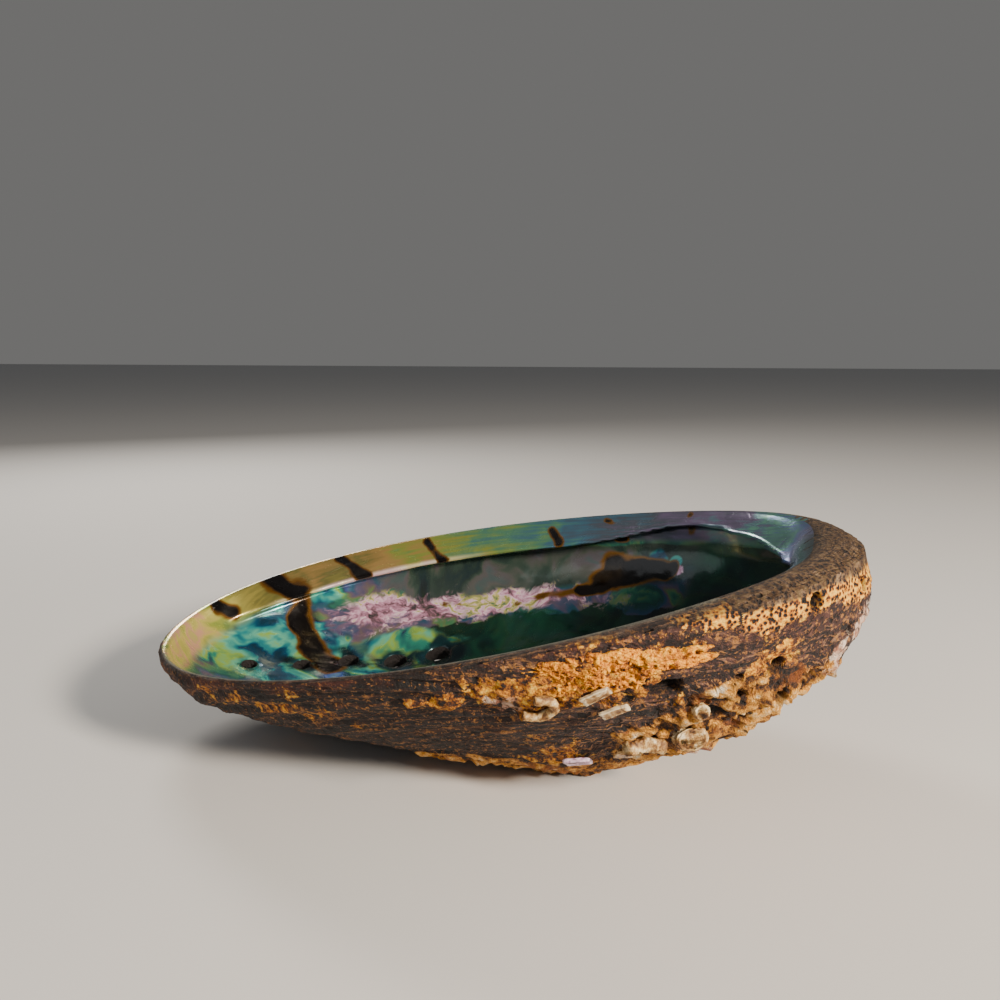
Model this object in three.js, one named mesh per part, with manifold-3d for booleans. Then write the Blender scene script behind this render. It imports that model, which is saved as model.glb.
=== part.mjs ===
// Abalone shell lying on its back, cavity up, with the small animals' tubes and chips
// that are cemented to its outside.
//
// Millimetres. +X points to the spire (rear) end, -X to the thin front lip, +Y to the side
// of the inner shelf and the breathing holes, +Z up. The origin is the middle of the worn
// flat that the shell rests on.
//
// A place on the shell wall is given by two numbers: a bearing in degrees, seen from above
// (0 at the spire end, 90 at the shelf side), and a level, 0 at the rim and 1 at the keel,
// the deepest point of the bowl.
import * as THREE from 'three';
import { mergeVertices } from 'three/addons/utils/BufferGeometryUtils.js';
import Module from 'manifold-3d';

const wasm = await Module();
wasm.setup();

// ---------------------------------------------------------------- driving dimensions

const HALF_LENGTH = 82;
const HALF_WIDTH = 56.8;
const EGG = 0.1; // widens the spire half of the outline a little
const DEPTH = 40; // rim plane down to the keel, outside
const KEEL = { x: 17, y: -10 }; // the keel, from the middle of the outline
const KEEL_SOFTNESS = 0.06; // rounds the tip of the keel
const FLOOR_THICKNESS = 4;
const PITCH = 0.187; // radians that the spire end is raised as the shell lies
const ROLL = 0.069; // radians that the shelf side is raised as the shell lies
const REST_POINT = { x: 16, y: -2 }; // the resting flat, from the middle of the outline
const REST_CUT = 1.2; // how much of the lowest lump is worn off flat

const SHELF_WIDTH = 9;
const SHELF_DROP = 5; // from the rim down to the shelf's inner edge
const SHELF_UNDERCUT = 1.6; // height of the face under the shelf's edge
const LIP_RISE = 0.22; // crown of the rounded lip, as a share of its width

const HOLE_BEARINGS = [176, 163, 151, 140, 127];
const HOLE_LEVELS = [0.23, 0.3, 0.35, 0.405, 0.43];
const HOLE_RADII = [1.9, 2.1, 2.3, 2.6, 2.7];
const HOLE_STRETCH = 1.25; // holes are longer along the row
const HOLE_DEPTH = 30;

const GRID = 42; // cells across the wall's square mesh
const LIP_STEPS = 3;
const SEAT_GAP = 0.3; // between the shell and what grows on it

// Lumps of the overgrown outer layer: bearing, level, radius and height.
const LUMPS = [
  [330, 0.93, 10, 2.6],
  [172, 0.7, 9, 1.3],
  [84, 0.7, 10, 5.2],
  [318, 0.44, 8, 2.0],
  [326, 0.325, 7, 1.8],
  [339, 0.2, 7, 1.5],
  [284, 0.54, 8, 1.6],
  [349, 0.1, 9, 1.1],
  [224, 0.12, 6, 1.2],
];

// ---------------------------------------------------------------- the wall's formulas

const radians = THREE.MathUtils.degToRad;

function hump(bearing, centre, width) {
  const away = THREE.MathUtils.euclideanModulo(bearing - centre + 180, 360) - 180;
  return Math.exp(-((away / width) ** 2));
}

const lipWidth = (bearing) =>
  1.9 +
  11.5 * hump(bearing, 2, 24) +
  6 * hump(bearing, -36, 30) +
  1.2 * hump(bearing, 180, 30) +
  hump(bearing, 80, 60);

const wallWidth = (bearing) => 3 + 2.5 * hump(bearing, 0, 45);

// Height of the outside edge of the rim above the rim plane.
const rimHeight = (bearing) =>
  -0.2 * Math.cos(radians(2 * bearing)) -
  1.95 * Math.sin(radians(2 * bearing)) -
  LIP_RISE * lipWidth(bearing);

const shelfShare = (bearing) =>
  THREE.MathUtils.smoothstep(bearing, -15, 25) * (1 - THREE.MathUtils.smoothstep(bearing, 142, 172));

const shelfWidth = (bearing) => shelfShare(bearing) * (SHELF_WIDTH - 4 * hump(bearing, 57, 15));

const shelfDrop = (bearing) => SHELF_DROP - 3.2 * hump(bearing, 57, 15) - 2 * hump(bearing, 25, 22);

// How far the bowl has closed in and how far it has gone down at a level, both 0 to 1.
function bowl(bearing, level) {
  const c = Math.cos(radians(bearing));
  const s = Math.sin(radians(bearing));
  const c2 = Math.cos(radians(2 * bearing));
  const fullness = 1.17 + 0.2 * c + 0.085 * s - 0.07 * c2;
  const steepness = 2.17 + 0.235 * c + 0.48 * s + 0.29 * c2;
  const turn = (Math.PI / 2) * level;
  const above = 1 - Math.sin(turn) ** (2 / steepness);
  const soft = KEEL_SOFTNESS;
  return {
    spread: Math.max(Math.cos(turn), 0) ** (2 / fullness),
    drop: 1 - (Math.hypot(above, soft) - soft) / (Math.hypot(1, soft) - soft),
  };
}

// A point of the bowl drawn in by `inset` towards the keel, with its floor at `depth`.
function bowlPoint(bearing, level, depth, insetAt) {
  const { spread, drop } = bowl(bearing, level);
  const c = Math.cos(radians(bearing));
  const across = HALF_LENGTH * c - KEEL.x;
  const along = HALF_WIDTH * Math.sin(radians(bearing)) * (1 + EGG * c) - KEEL.y;
  const reach = Math.hypot(across, along);
  const inset = insetAt(depth * drop) * Math.min(spread / 0.3, 1);
  const out = spread - inset / reach;
  return new THREE.Vector3(
    KEEL.x + across * out,
    KEEL.y + along * out,
    rimHeight(bearing) * (1 - drop) - depth * drop,
  );
}

const smoothOutside = (bearing, level) => bowlPoint(bearing, level, DEPTH, () => 0);

function shelfProfile(bearing, down) {
  const edge = shelfDrop(bearing);
  const foot = edge + SHELF_UNDERCUT;
  if (down < edge) return down / edge;
  if (down < foot) return 1 - (0.85 * (down - edge)) / SHELF_UNDERCUT;
  return 0.15 * (1 - THREE.MathUtils.smoothstep(down, foot, foot + 10));
}

function inside(bearing, level) {
  const wall = wallWidth(bearing);
  const extra = lipWidth(bearing) - wall;
  return bowlPoint(bearing, level, DEPTH - FLOOR_THICKNESS, (down) =>
    wall + extra * Math.exp(-down / 6) + shelfWidth(bearing) * shelfProfile(bearing, down));
}

// Outward direction of the smooth outside, by small steps either way.
function outward(bearing, level) {
  const step = 0.004;
  const nearKeel = Math.min(level, 0.985);
  const alongRim = smoothOutside(bearing + 1, nearKeel).sub(smoothOutside(bearing - 1, nearKeel));
  const low = Math.max(nearKeel - step, 0.001);
  const downWall = smoothOutside(bearing, nearKeel + step).sub(smoothOutside(bearing, low));
  const direction = downWall.cross(alongRim).normalize();
  return level > 0.985 ? direction.lerp(new THREE.Vector3(0, 0, -1), 0.7).normalize() : direction;
}

const lumps = LUMPS.map(([bearing, level, radius, height]) => ({
  centre: smoothOutside(bearing, level),
  radius,
  height,
}));

function outside(bearing, level) {
  const point = smoothOutside(bearing, level);
  const rise = lumps.reduce(
    (sum, { centre, radius, height }) =>
      sum + height * Math.exp(-point.distanceToSquared(centre) / radius ** 2),
    0,
  );
  const fade = THREE.MathUtils.smoothstep(level, 0, 0.06);
  return point.addScaledVector(outward(bearing, level), rise * fade);
}

function lip(bearing, share) {
  const crown = LIP_RISE * lipWidth(bearing) * Math.sin(Math.PI * share) ** 0.8;
  const point = outside(bearing, 0).lerp(inside(bearing, 0), share);
  point.z += crown;
  return point;
}

// Lays the shell on its back: turned about Y, then about X, with the origin at the rest flat.
const lay = new THREE.Matrix4()
  .makeRotationX(ROLL)
  .multiply(new THREE.Matrix4().makeRotationY(-PITCH));

// ---------------------------------------------------------------- meshes and solids

// Bearing and level of a cell corner of a 2 x 2 square, whose edge is the rim.
function squareToWall(x, y) {
  const ring = Math.max(Math.abs(x), Math.abs(y));
  const level = (1 - ring) ** 1.25;
  if (ring === 0) return { bearing: 0, level };
  const bearing = Math.abs(x) >= Math.abs(y)
    ? (x > 0 ? 0 : 180) + 45 * (y / x)
    : (y > 0 ? 90 : 270) - 45 * (x / y);
  return { bearing, level };
}

// Moves every corner of a geometry, then merges what meets.
function reshape(geometry, place) {
  const position = geometry.getAttribute('position');
  for (let i = 0; i < position.count; i += 1) {
    const moved = place(position.getX(i), position.getY(i), position.getZ(i));
    position.setXYZ(i, moved.x, moved.y, moved.z);
  }
  geometry.deleteAttribute('normal');
  geometry.deleteAttribute('uv');
  return mergeVertices(geometry, 1e-4);
}

function toSolid(geometry) {
  return new wasm.Manifold(new wasm.Mesh({
    numProp: 3,
    vertProperties: Float32Array.from(geometry.getAttribute('position').array),
    triVerts: Uint32Array.from(geometry.getIndex().array),
  }));
}

function fromSolid(solid) {
  const { vertProperties, triVerts } = solid.getMesh();
  const geometry = new THREE.BufferGeometry();
  geometry.setAttribute('position', new THREE.BufferAttribute(Float32Array.from(vertProperties), 3));
  geometry.setIndex(new THREE.BufferAttribute(Uint32Array.from(triVerts), 1));
  return geometry;
}

// ---------------------------------------------------------------- the shell

function wallGeometry() {
  return reshape(new THREE.BoxGeometry(2, 2, 1, GRID, GRID, LIP_STEPS), (x, y, z) => {
    const { bearing, level } = squareToWall(x, y);
    const share = z + 0.5;
    if (level === 0) return lip(bearing, share);
    return share > 0.5 ? inside(bearing, level) : outside(bearing, level);
  }).applyMatrix4(lay);
}

const wall = wallGeometry();
wall.computeBoundingBox();
const restSpot = new THREE.Vector3(REST_POINT.x, REST_POINT.y, wall.boundingBox.min.z + REST_CUT);
const lift = new THREE.Matrix4().makeTranslation(restSpot.clone().negate());
const settle = lift.clone().multiply(lay); // from the rim-plane frame to the part's frame
wall.applyMatrix4(lift);

// A frame on the outside: X along the rim towards larger bearings, Y out of the wall.
function seat(bearing, level, height = 0, twist = 0) {
  const out = outward(bearing, level);
  const along = outside(bearing + 1, level).sub(outside(bearing - 1, level)).normalize();
  along.addScaledVector(out, -along.dot(out)).normalize();
  const third = along.clone().cross(out);
  const point = outside(bearing, level).addScaledVector(out, height);
  return new THREE.Matrix4()
    .makeBasis(along, out, third)
    .setPosition(point)
    .premultiply(settle)
    .multiply(new THREE.Matrix4().makeRotationY(twist));
}

function bareGeometry(geometry) {
  geometry.deleteAttribute('normal');
  geometry.deleteAttribute('uv');
  return mergeVertices(geometry, 1e-4);
}

function breathingHole(bearing, level, radius) {
  const plug = new THREE.CylinderGeometry(radius, radius, HOLE_DEPTH, 20);
  plug.scale(HOLE_STRETCH, 1, 1);
  return toSolid(bareGeometry(plug).applyMatrix4(seat(bearing, level)));
}

// Holes that other animals bored into the outside. They end inside the wall.
const BURROW_DEPTH = 1.8;
const ROUND_BURROWS = [[323, 0.19, 1.5], [327, 0.29, 1.4], [346, 0.035, 1.3], [330, 0.035, 1.6]];
const SQUARE_BURROW = { bearing: 304, level: 0.205, length: 6.2, width: 4 };

function burrow(plug, bearing, level) {
  return toSolid(bareGeometry(plug).applyMatrix4(seat(bearing, level)));
}

function shellSolid() {
  let solid = toSolid(wall);
  HOLE_BEARINGS.forEach((bearing, i) => {
    solid = solid.subtract(breathingHole(bearing, HOLE_LEVELS[i], HOLE_RADII[i]));
  });
  for (const [bearing, level, radius] of ROUND_BURROWS) {
    const plug = new THREE.CylinderGeometry(radius, radius, 2 * BURROW_DEPTH, 12);
    solid = solid.subtract(burrow(plug, bearing, level));
  }
  const { bearing, level, length, width } = SQUARE_BURROW;
  const plug = new THREE.BoxGeometry(length, 2 * BURROW_DEPTH, width);
  solid = solid.subtract(burrow(plug, bearing, level));
  const below = new THREE.BoxGeometry(4 * HALF_LENGTH, 4 * HALF_WIDTH, 20).translate(0, 0, -10);
  return solid.subtract(toSolid(bareGeometry(below)));
}

// ---------------------------------------------------------------- what grows on it

// Granular orange sponge: a thin mat that follows the wall.
const SPONGE = {
  bearing: 296, level: 0.117, halfBearing: 14, halfLevel: 0.078, thickness: 1.3,
};

function spongeGeometry() {
  const { bearing, level, halfBearing, halfLevel, thickness } = SPONGE;
  return reshape(new THREE.BoxGeometry(2, 2, 1, 18, 12, 1), (x, y, z) => {
    const corner = squareToWall(x, y);
    const angle = radians(corner.bearing);
    const ring = Math.max(Math.abs(x), Math.abs(y));
    const ragged = ring * (1 + 0.1 * Math.sin(3 * angle + 1) + 0.07 * Math.sin(5 * angle));
    const b = bearing + halfBearing * ragged * Math.cos(angle);
    const l = level - halfLevel * ragged * Math.sin(angle);
    const grain = 0.8 + 0.2 * Math.sin(2.1 * b) * Math.sin(90 * l);
    const height = z < 0 ? 0 : thickness * grain * Math.sqrt(1 - 0.85 * ring ** 2);
    return outside(b, l).addScaledVector(outward(b, l), SEAT_GAP + height);
  });
}

// A tube that a worm built: round, with a blind bore in its mouth end.
function wormTube(points, radius, bore, boreFrom, place) {
  const curve = new THREE.CatmullRomCurve3(points.map(([x, y, z]) => new THREE.Vector3(x, y, z)));
  const steps = 4 * points.length;
  const ring = (r) => new THREE.Shape().absarc(0, 0, r, 0, 2 * Math.PI);
  const options = { steps, bevelEnabled: false, curveSegments: 6 };
  const tube = new THREE.ExtrudeGeometry(ring(radius), { ...options, extrudePath: curve });
  const boreCurve = new THREE.CatmullRomCurve3([
    curve.getPointAt(boreFrom),
    curve.getPointAt((1 + boreFrom) / 2),
    curve.getPointAt(1).addScaledVector(curve.getTangentAt(1), 0.5),
  ]);
  const hollow = new THREE.ExtrudeGeometry(ring(bore), { ...options, extrudePath: boreCurve });
  const solid = toSolid(bareGeometry(tube)).subtract(toSolid(bareGeometry(hollow)));
  return fromSolid(solid).applyMatrix4(place);
}

// A worm tube or barnacle seen end on: a low cup with an oval mouth.
function mouthCup(radius, mouth, height, stretch, place) {
  const floor = 0.4 * height;
  const profile = [
    [0, 0], [radius, 0], [0.95 * radius, 0.8 * height], [(radius + mouth) / 2, height],
    [mouth, 0.8 * height], [0.85 * mouth, floor], [0, floor],
  ].map(([x, y]) => new THREE.Vector2(x, y));
  const cup = new THREE.LatheGeometry(profile, 20);
  cup.scale(stretch, 1, 1);
  return bareGeometry(cup).applyMatrix4(place);
}

// A thin flake of another animal's shell, lying flat and a little rounded at its corners.
function chip(length, width, thickness, place) {
  const corner = 0.3 * width;
  const [x, y] = [length / 2, width / 2];
  const outline = new THREE.Shape();
  outline.moveTo(-x + corner, -y);
  outline.lineTo(x - corner, -y);
  outline.quadraticCurveTo(x, -y, x, 0);
  outline.lineTo(x - corner, y);
  outline.lineTo(-x, 0.8 * y);
  outline.quadraticCurveTo(-x, -y, -x + corner, -y);
  const flake = new THREE.ExtrudeGeometry(outline, {
    depth: thickness, bevelEnabled: false, curveSegments: 4,
  });
  flake.rotateX(-Math.PI / 2);
  return bareGeometry(flake).applyMatrix4(place);
}

// ---------------------------------------------------------------- the object

const abalone = new THREE.Group();

function add(name, geometry, color, roughness) {
  const material = new THREE.MeshStandardMaterial({ color, roughness, metalness: 0 });
  const mesh = new THREE.Mesh(geometry, material);
  mesh.name = name;
  abalone.add(mesh);
}

add('abalone_shell', fromSolid(shellSolid()), 0x6b5a45, 0.6);
add('sponge_mat', spongeGeometry().applyMatrix4(settle), 0xc98a3a, 0.95);

const HOOK = [[-3, 0, 2.4], [0, 0, 3], [2.8, 0.1, 1], [2.4, 0.3, -1.8], [-0.2, 0.6, -2.6]];
add('worm_tube_hooked', wormTube(HOOK, 0.9, 0.5, 0.6, seat(286, 0.205, 1.5)), 0xe6dccb, 0.6);

const BENT = [[-4.5, 0, 1.5], [-2, 0.1, 0.4], [1, 0.3, 0.2], [3.4, 1.2, 1.4]];
add('worm_tube_bent', wormTube(BENT, 1.5, 0.95, 0.5, seat(303, 0.4, 2)), 0xe8d9b5, 0.35);

add('worm_cup_oval', mouthCup(2.7, 1.9, 1.8, 1.35, seat(312, 0.39, 0.45)), 0xddc9a6, 0.6);
add('worm_cup_small', mouthCup(1.7, 1, 1.5, 1.1, seat(311, 0.294, 0.4)), 0xd8c09a, 0.6);

// The two upper flakes lie on the sponge; the other two lie on the shell.
const ON_SPONGE = SPONGE.thickness + 2 * SEAT_GAP;
const upperFlake = chip(5.8, 2.2, 0.8, seat(294, 0.172, ON_SPONGE, 0.5));
const lowerFlake = chip(5.5, 2.2, 0.8, seat(296.5, 0.235, ON_SPONGE, 0.45));
add('clear_chip_upper', upperFlake, 0xd8d2bd, 0.2);
add('clear_chip_lower', lowerFlake, 0xcfc9b4, 0.2);
add('nacre_chip', chip(5.5, 3.6, 0.9, seat(289.5, 0.5, 0.55, 0.2)), 0xb9a6c4, 0.25);
add('amber_chip', chip(4.6, 3, 0.9, seat(301, 0.495, 0.55, -0.3)), 0xa07c48, 0.2);

export default abalone;
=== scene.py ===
from math import atan2, cos, exp, hypot, pi, radians, sin, sqrt

import bmesh
import bpy
from mathutils import Matrix, Vector, noise


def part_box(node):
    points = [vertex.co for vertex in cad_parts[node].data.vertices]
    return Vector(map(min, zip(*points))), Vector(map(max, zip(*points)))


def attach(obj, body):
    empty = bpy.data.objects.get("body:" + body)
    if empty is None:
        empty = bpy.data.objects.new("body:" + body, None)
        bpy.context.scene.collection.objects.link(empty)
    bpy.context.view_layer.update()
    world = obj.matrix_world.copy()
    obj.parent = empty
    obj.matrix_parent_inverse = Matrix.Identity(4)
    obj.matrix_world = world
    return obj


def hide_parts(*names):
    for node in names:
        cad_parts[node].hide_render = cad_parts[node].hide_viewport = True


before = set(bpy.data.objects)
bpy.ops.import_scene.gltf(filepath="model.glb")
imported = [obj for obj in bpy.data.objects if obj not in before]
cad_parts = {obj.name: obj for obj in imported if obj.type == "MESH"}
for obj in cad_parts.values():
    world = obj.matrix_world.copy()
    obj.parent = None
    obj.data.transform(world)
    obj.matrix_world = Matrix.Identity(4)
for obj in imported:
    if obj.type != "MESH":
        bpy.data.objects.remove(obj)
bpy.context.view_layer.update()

# ---------------------------------------------------------------------------------
# The shell, which the animal grew in one piece from lime and nacre: an oval bowl lying
# on its back, with a thin front lip, a thick spire end, a shelf along the far side and a
# row of breathing holes. It rests loose on the worn lumps under its keel.

# A place on it is a bearing in degrees (0 spire end, 90 shelf side) and a level, 0 at
# the rim and 1 at the keel. Millimetres here, metres in the meshes.
MM = 0.001
HALF_LENGTH = 82
HALF_WIDTH = 56.8
EGG = 0.1
BOWL_DEPTH = 40
KEEL_X, KEEL_Y = 17, -10
KEEL_SOFTNESS = 0.06
FLOOR_THICKNESS = 4
SHELF_WIDTH, SHELF_DROP, SHELF_UNDERCUT = 9, 5, 1.6
LIP_RISE = 0.22
ORIGIN = Vector((16, -2, -38.218))
LAY_DOWN = Matrix.Rotation(0.069, 4, "X") @ Matrix.Rotation(-0.187, 4, "Y")
SETTLE = Matrix.Scale(MM, 4) @ Matrix.Translation(-ORIGIN) @ LAY_DOWN

# Lumps of the overgrown outer layer: bearing, level, radius and height.
LUMPS = [
    (330, 0.93, 10, 2.6),
    (172, 0.7, 9, 1.3),
    (84, 0.7, 10, 5.2),
    (318, 0.44, 8, 2.0),
    (326, 0.325, 7, 1.8),
    (339, 0.2, 7, 1.5),
    (284, 0.54, 8, 1.6),
    (349, 0.1, 9, 1.1),
    (224, 0.12, 6, 1.2),
]


def smooth(low, high, value):
    share = min(max((value - low) / (high - low), 0), 1)
    return share * share * (3 - 2 * share)


def hump(bearing, centre, width):
    away = (bearing - centre + 180) % 360 - 180
    return exp(-((away / width) ** 2))


# The lip is thick and worn at the spire end and thin everywhere else.
def lip_width(bearing):
    spire_end = 11.5 * hump(bearing, 2, 24) + 6 * hump(bearing, -36, 30)
    return 1.9 + spire_end + 1.2 * hump(bearing, 180, 30) + hump(bearing, 80, 60)


def rim_height(bearing):
    turn = radians(2 * bearing)
    return -0.2 * cos(turn) - 1.95 * sin(turn) - LIP_RISE * lip_width(bearing)


def shelf_width(bearing):
    share = smooth(-15, 25, bearing) * (1 - smooth(142, 172, bearing))
    return share * (SHELF_WIDTH - 4 * hump(bearing, 57, 15))


def shelf_drop(bearing):
    return SHELF_DROP - 3.2 * hump(bearing, 57, 15) - 2 * hump(bearing, 25, 22)


# How far the shelf stands in from the wall going down: a slope, an edge and an undercut.
def shelf_profile(bearing, down):
    edge = shelf_drop(bearing)
    foot = edge + SHELF_UNDERCUT
    if down < edge:
        return down / edge
    if down < foot:
        return 1 - 0.85 * (down - edge) / SHELF_UNDERCUT
    return 0.15 * (1 - smooth(foot, foot + 10, down))


# A point of the bowl: rounded more fully at some bearings than at others, and moved in
# from the outside by an inset that depends on how far down it is.
def bowl_point(bearing, level, depth, inset_at):
    c, s = cos(radians(bearing)), sin(radians(bearing))
    c2 = cos(radians(2 * bearing))
    fullness = 1.17 + 0.2 * c + 0.085 * s - 0.07 * c2
    steepness = 2.17 + 0.235 * c + 0.48 * s + 0.29 * c2
    turn = pi / 2 * min(level, 1)
    spread = max(cos(turn), 0) ** (2 / fullness)
    above = 1 - sin(turn) ** (2 / steepness)
    soft = KEEL_SOFTNESS
    drop = 1 - (hypot(above, soft) - soft) / (hypot(1, soft) - soft)
    across = HALF_LENGTH * c - KEEL_X
    along = HALF_WIDTH * s * (1 + EGG * c) - KEEL_Y
    inset = inset_at(depth * drop) * min(spread / 0.3, 1)
    out = spread - inset / hypot(across, along)
    height = rim_height(bearing) * (1 - drop) - depth * drop
    return Vector((KEEL_X + across * out, KEEL_Y + along * out, height))


def outside(bearing, level):
    return bowl_point(bearing, level, BOWL_DEPTH, lambda down: 0)


def inside(bearing, level):
    wall = 3 + 2.5 * hump(bearing, 0, 45)
    extra = lip_width(bearing) - wall
    shelf = shelf_width(bearing)

    def inset(down):
        return wall + extra * exp(-down / 6) + shelf * shelf_profile(bearing, down)

    return bowl_point(bearing, level, BOWL_DEPTH - FLOOR_THICKNESS, inset)


def lip(bearing, share):
    point = outside(bearing, 0).lerp(inside(bearing, 0), share)
    point.z += LIP_RISE * lip_width(bearing) * sin(pi * share) ** 0.8
    return point


def square_to_wall(x, y):
    ring = max(abs(x), abs(y))
    level = max(1 - ring, 0) ** 1.25
    if ring < 1e-6:
        return 0.0, 1.0
    if abs(x) >= abs(y):
        return (0 if x > 0 else 180) + 45 * y / x, level
    return (90 if y > 0 else 270) - 45 * x / y, level


# Two square sheets, the lower one facing down, joined round their edges by a wall.
def paired_sheets(cells, wall_cuts):
    form = bmesh.new()
    bmesh.ops.create_grid(
        form, x_segments=cells, y_segments=cells, size=1, matrix=Matrix.Translation((0, 0, -0.5))
    )
    bmesh.ops.reverse_faces(form, faces=form.faces[:])
    bmesh.ops.create_grid(
        form, x_segments=cells, y_segments=cells, size=1, matrix=Matrix.Translation((0, 0, 0.5))
    )
    bmesh.ops.bridge_loops(form, edges=[e for e in form.edges if e.is_boundary])
    uprights = [e for e in form.edges if abs(e.verts[0].co.z - e.verts[1].co.z) > 0.5]
    if wall_cuts:
        bmesh.ops.subdivide_edges(form, edges=uprights, cuts=wall_cuts)
    return form


SPIRE_X, SPIRE_Y = 44, -26


# The growth lines are smaller and smaller copies of the rim, shrinking to the spire.
def growth(x, y):
    across, along = x - SPIRE_X, y - SPIRE_Y
    a = (across / HALF_LENGTH) ** 2 + (along / HALF_WIDTH) ** 2 + 1e-9
    b = across * SPIRE_X / HALF_LENGTH**2 + along * SPIRE_Y / HALF_WIDTH**2
    c = (SPIRE_X / HALF_LENGTH) ** 2 + (SPIRE_Y / HALF_WIDTH) ** 2 - 1
    return a / (-b + sqrt(max(b * b - a * c, 0)))


# How fine the shell's mesh is: cells along each side of its sheets, and cuts in the lip.
SHELL_CELLS = 200
LIP_CUTS = 5

# Holes and burrows: bearing, level and radius of each. The breathing holes go right
# through the wall, drawn out along the rim; the burrows stop in it.
HOLE_BEARINGS = (176, 163, 151, 140, 127)
HOLE_LEVELS = (0.23, 0.3, 0.35, 0.405, 0.43)
HOLE_RADII = (1.9, 2.1, 2.3, 2.6, 2.7)
HOLE_STRETCH = 1.25
# The burrow at bearing 287.5 lies under the hooked tube's curl, and its painted dark shade darkens the
# curl.
ROUND_BURROWS = (
    (323, 0.19, 1.9), (327, 0.29, 1.8), (346, 0.035, 1.4), (330, 0.035, 1.7),
    (287.5, 0.2, 1.5), (318, 0.26, 0.9), (333, 0.24, 0.9), (306, 0.46, 1.0), (335, 0.4, 1.1),
    (320, 0.33, 1.0), (316, 0.2, 0.8), (340, 0.13, 1.0), (352, 0.08, 1.1), (299, 0.52, 0.9),
    (312, 0.385, 2.1), (311, 0.29, 1.1),
)
SQUARE_BURROW = (304, 0.205, 6.2, 4)
BURROW_DEPTH = 2.6


# A frame on the outside: X along the rim to larger bearings, Y out of the wall.
def seat(bearing, level):
    down = outside(bearing, level + 0.01) - outside(bearing, level - 0.01)
    along = outside(bearing + 1, level) - outside(bearing - 1, level)
    out = down.cross(along).normalized()
    along = (along - out * along.dot(out)).normalized()
    third = along.cross(out)
    turn = Matrix((along, out, third)).transposed().to_4x4()
    return Matrix.Translation(outside(bearing, level)) @ turn


holes = []
for bearing, level, radius in zip(HOLE_BEARINGS, HOLE_LEVELS, HOLE_RADII):
    holes.append((seat(bearing, level).inverted(), radius * HOLE_STRETCH, radius))
burrows = []
for bearing, level, radius in ROUND_BURROWS:
    burrows.append((seat(bearing, level).inverted(), radius, radius, 2))
bearing, level, length, width = SQUARE_BURROW
burrows.append((seat(bearing, level).inverted(), length / 2, width / 2, 5))
lump_places = [(outside(b, l), radius, height) for b, l, radius, height in LUMPS]


# How thick the crust of growths lies on the outside, 0 to 1.
def crust_cover(bearing, level, point):
    low_right = 1.25 * smooth(0.12, 0.3, level) * hump(bearing, 328, 30)
    belly = smooth(0.45, 0.62, level)
    back = 0.7 * smooth(0.1, 0.5, level) * hump(bearing, 20, 40)
    ragged = noise.fractal(point * 0.09, 0.6, 2.1, 4)
    return smooth(0.35, 0.75, max(low_right, belly, back) + 0.35 * ragged)


def rough_at(point):
    return noise.fractal(point * 0.22, 0.7, 2.2, 5)


def knobs_at(point):
    return noise.fractal(point * 0.55 + Vector((7, 3, 1)), 0.8, 2.1, 3)


# The thin film of sponge round the thick mat, spreading to the front and down.
def sponge_film(bearing, level, point):
    ragged = noise.fractal(point * 0.2, 0.7, 2.1, 4)
    body = hump(bearing, 289, 13) * hump(level, 0.18, 0.1)
    front = 0.75 * hump(bearing, 274, 9) * hump(level, 0.17, 0.05)
    return smooth(0.35, 0.6, max(body, front) + 0.4 * ragged)


CHALK_SPOTS = ((347, 0.14, 6), (339, 0.2, 5), (322, 0.5, 5), (281, 0.2, 4))


# Chalky white lime that worms and moss animals left near the spire end and the sponge.
def chalk_cover(point):
    found = 0
    for bearing, level, size in CHALK_SPOTS:
        away = (point - outside(bearing, level)).length / size
        found = max(found, exp(-away * away))
    return found * (0.7 + 0.5 * noise.fractal(point * 0.5, 0.7, 2.1, 3))


# How far the outside stands off the plain bowl, in lumps, crust and growth layers.
def outside_relief(bearing, level, point):
    rise = 0
    for place, radius, height in lump_places:
        rise += height * exp(-(point - place).length_squared / radius**2)
    crust = crust_cover(bearing, level, point)
    rough = rough_at(point)
    knobs = knobs_at(point)
    line = growth(point.x, point.y) * 46
    ridge = noise.fractal(Vector((line, point.x * 0.02, 3)), 0.7, 2.1, 4)
    layered = 0.5 * ridge + 0.22 * noise.fractal(point * 0.7, 0.8, 2, 3)
    wild = 1 - 0.4 * smooth(0.4, 0.6, level)
    rise += crust * (0.6 + wild * (1.7 * rough + 1.1 * knobs)) + (1 - crust) * layered
    rise += sponge_film(bearing, level, point) * (0.8 + 0.7 * rough + 0.5 * knobs)
    return rise * smooth(0, 0.045, level) - 0.5 * (1 - smooth(0, 0.02, level)) * abs(rough)


# Brown and black growth bands in the nacre: points as bearing and level, half width, and
# how black the middle is.
NACRE_BANDS = [
    (((150, 0.0), (147, 0.07), (149, 0.15), (153, 0.24), (158, 0.33)), 2.9, 1.0),
    (((145, 0.02), (145, 0.10)), 2.4, 0.5),
    (((167, 0.0), (164, 0.04)), 2.2, 1.0),
    (((132, 0.0), (131, 0.06)), 1.7, 0.9),
    (((114, 0.0), (112, 0.06)), 1.5, 0.9),
    (((87, 0.015), (86, 0.05)), 1.6, 0.8),
    (((75, 0.0), (73, 0.06)), 1.3, 1.0),
    (((58, 0.0), (57, 0.03)), 1.3, 0.9),
    (((99, 0.295), (92, 0.285), (84, 0.27), (76, 0.262), (69, 0.24)), 1.5, 0.48),
    (((85, 0.268), (78, 0.24)), 1.7, 1.3),
    (((79, 0.237), (74, 0.215)), 2.8, 1.4),
    (((75, 0.212), (69, 0.195)), 3.9, 1.5),
    (((70, 0.195), (65, 0.183)), 3.1, 1.5),
    (((66, 0.186), (62, 0.176)), 1.9, 1.4),
    (((116, 0.25), (113, 0.262)), 1.2, 0.5),
    (((133, 0.14), (131, 0.17)), 1.0, 0.28),
]
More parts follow.
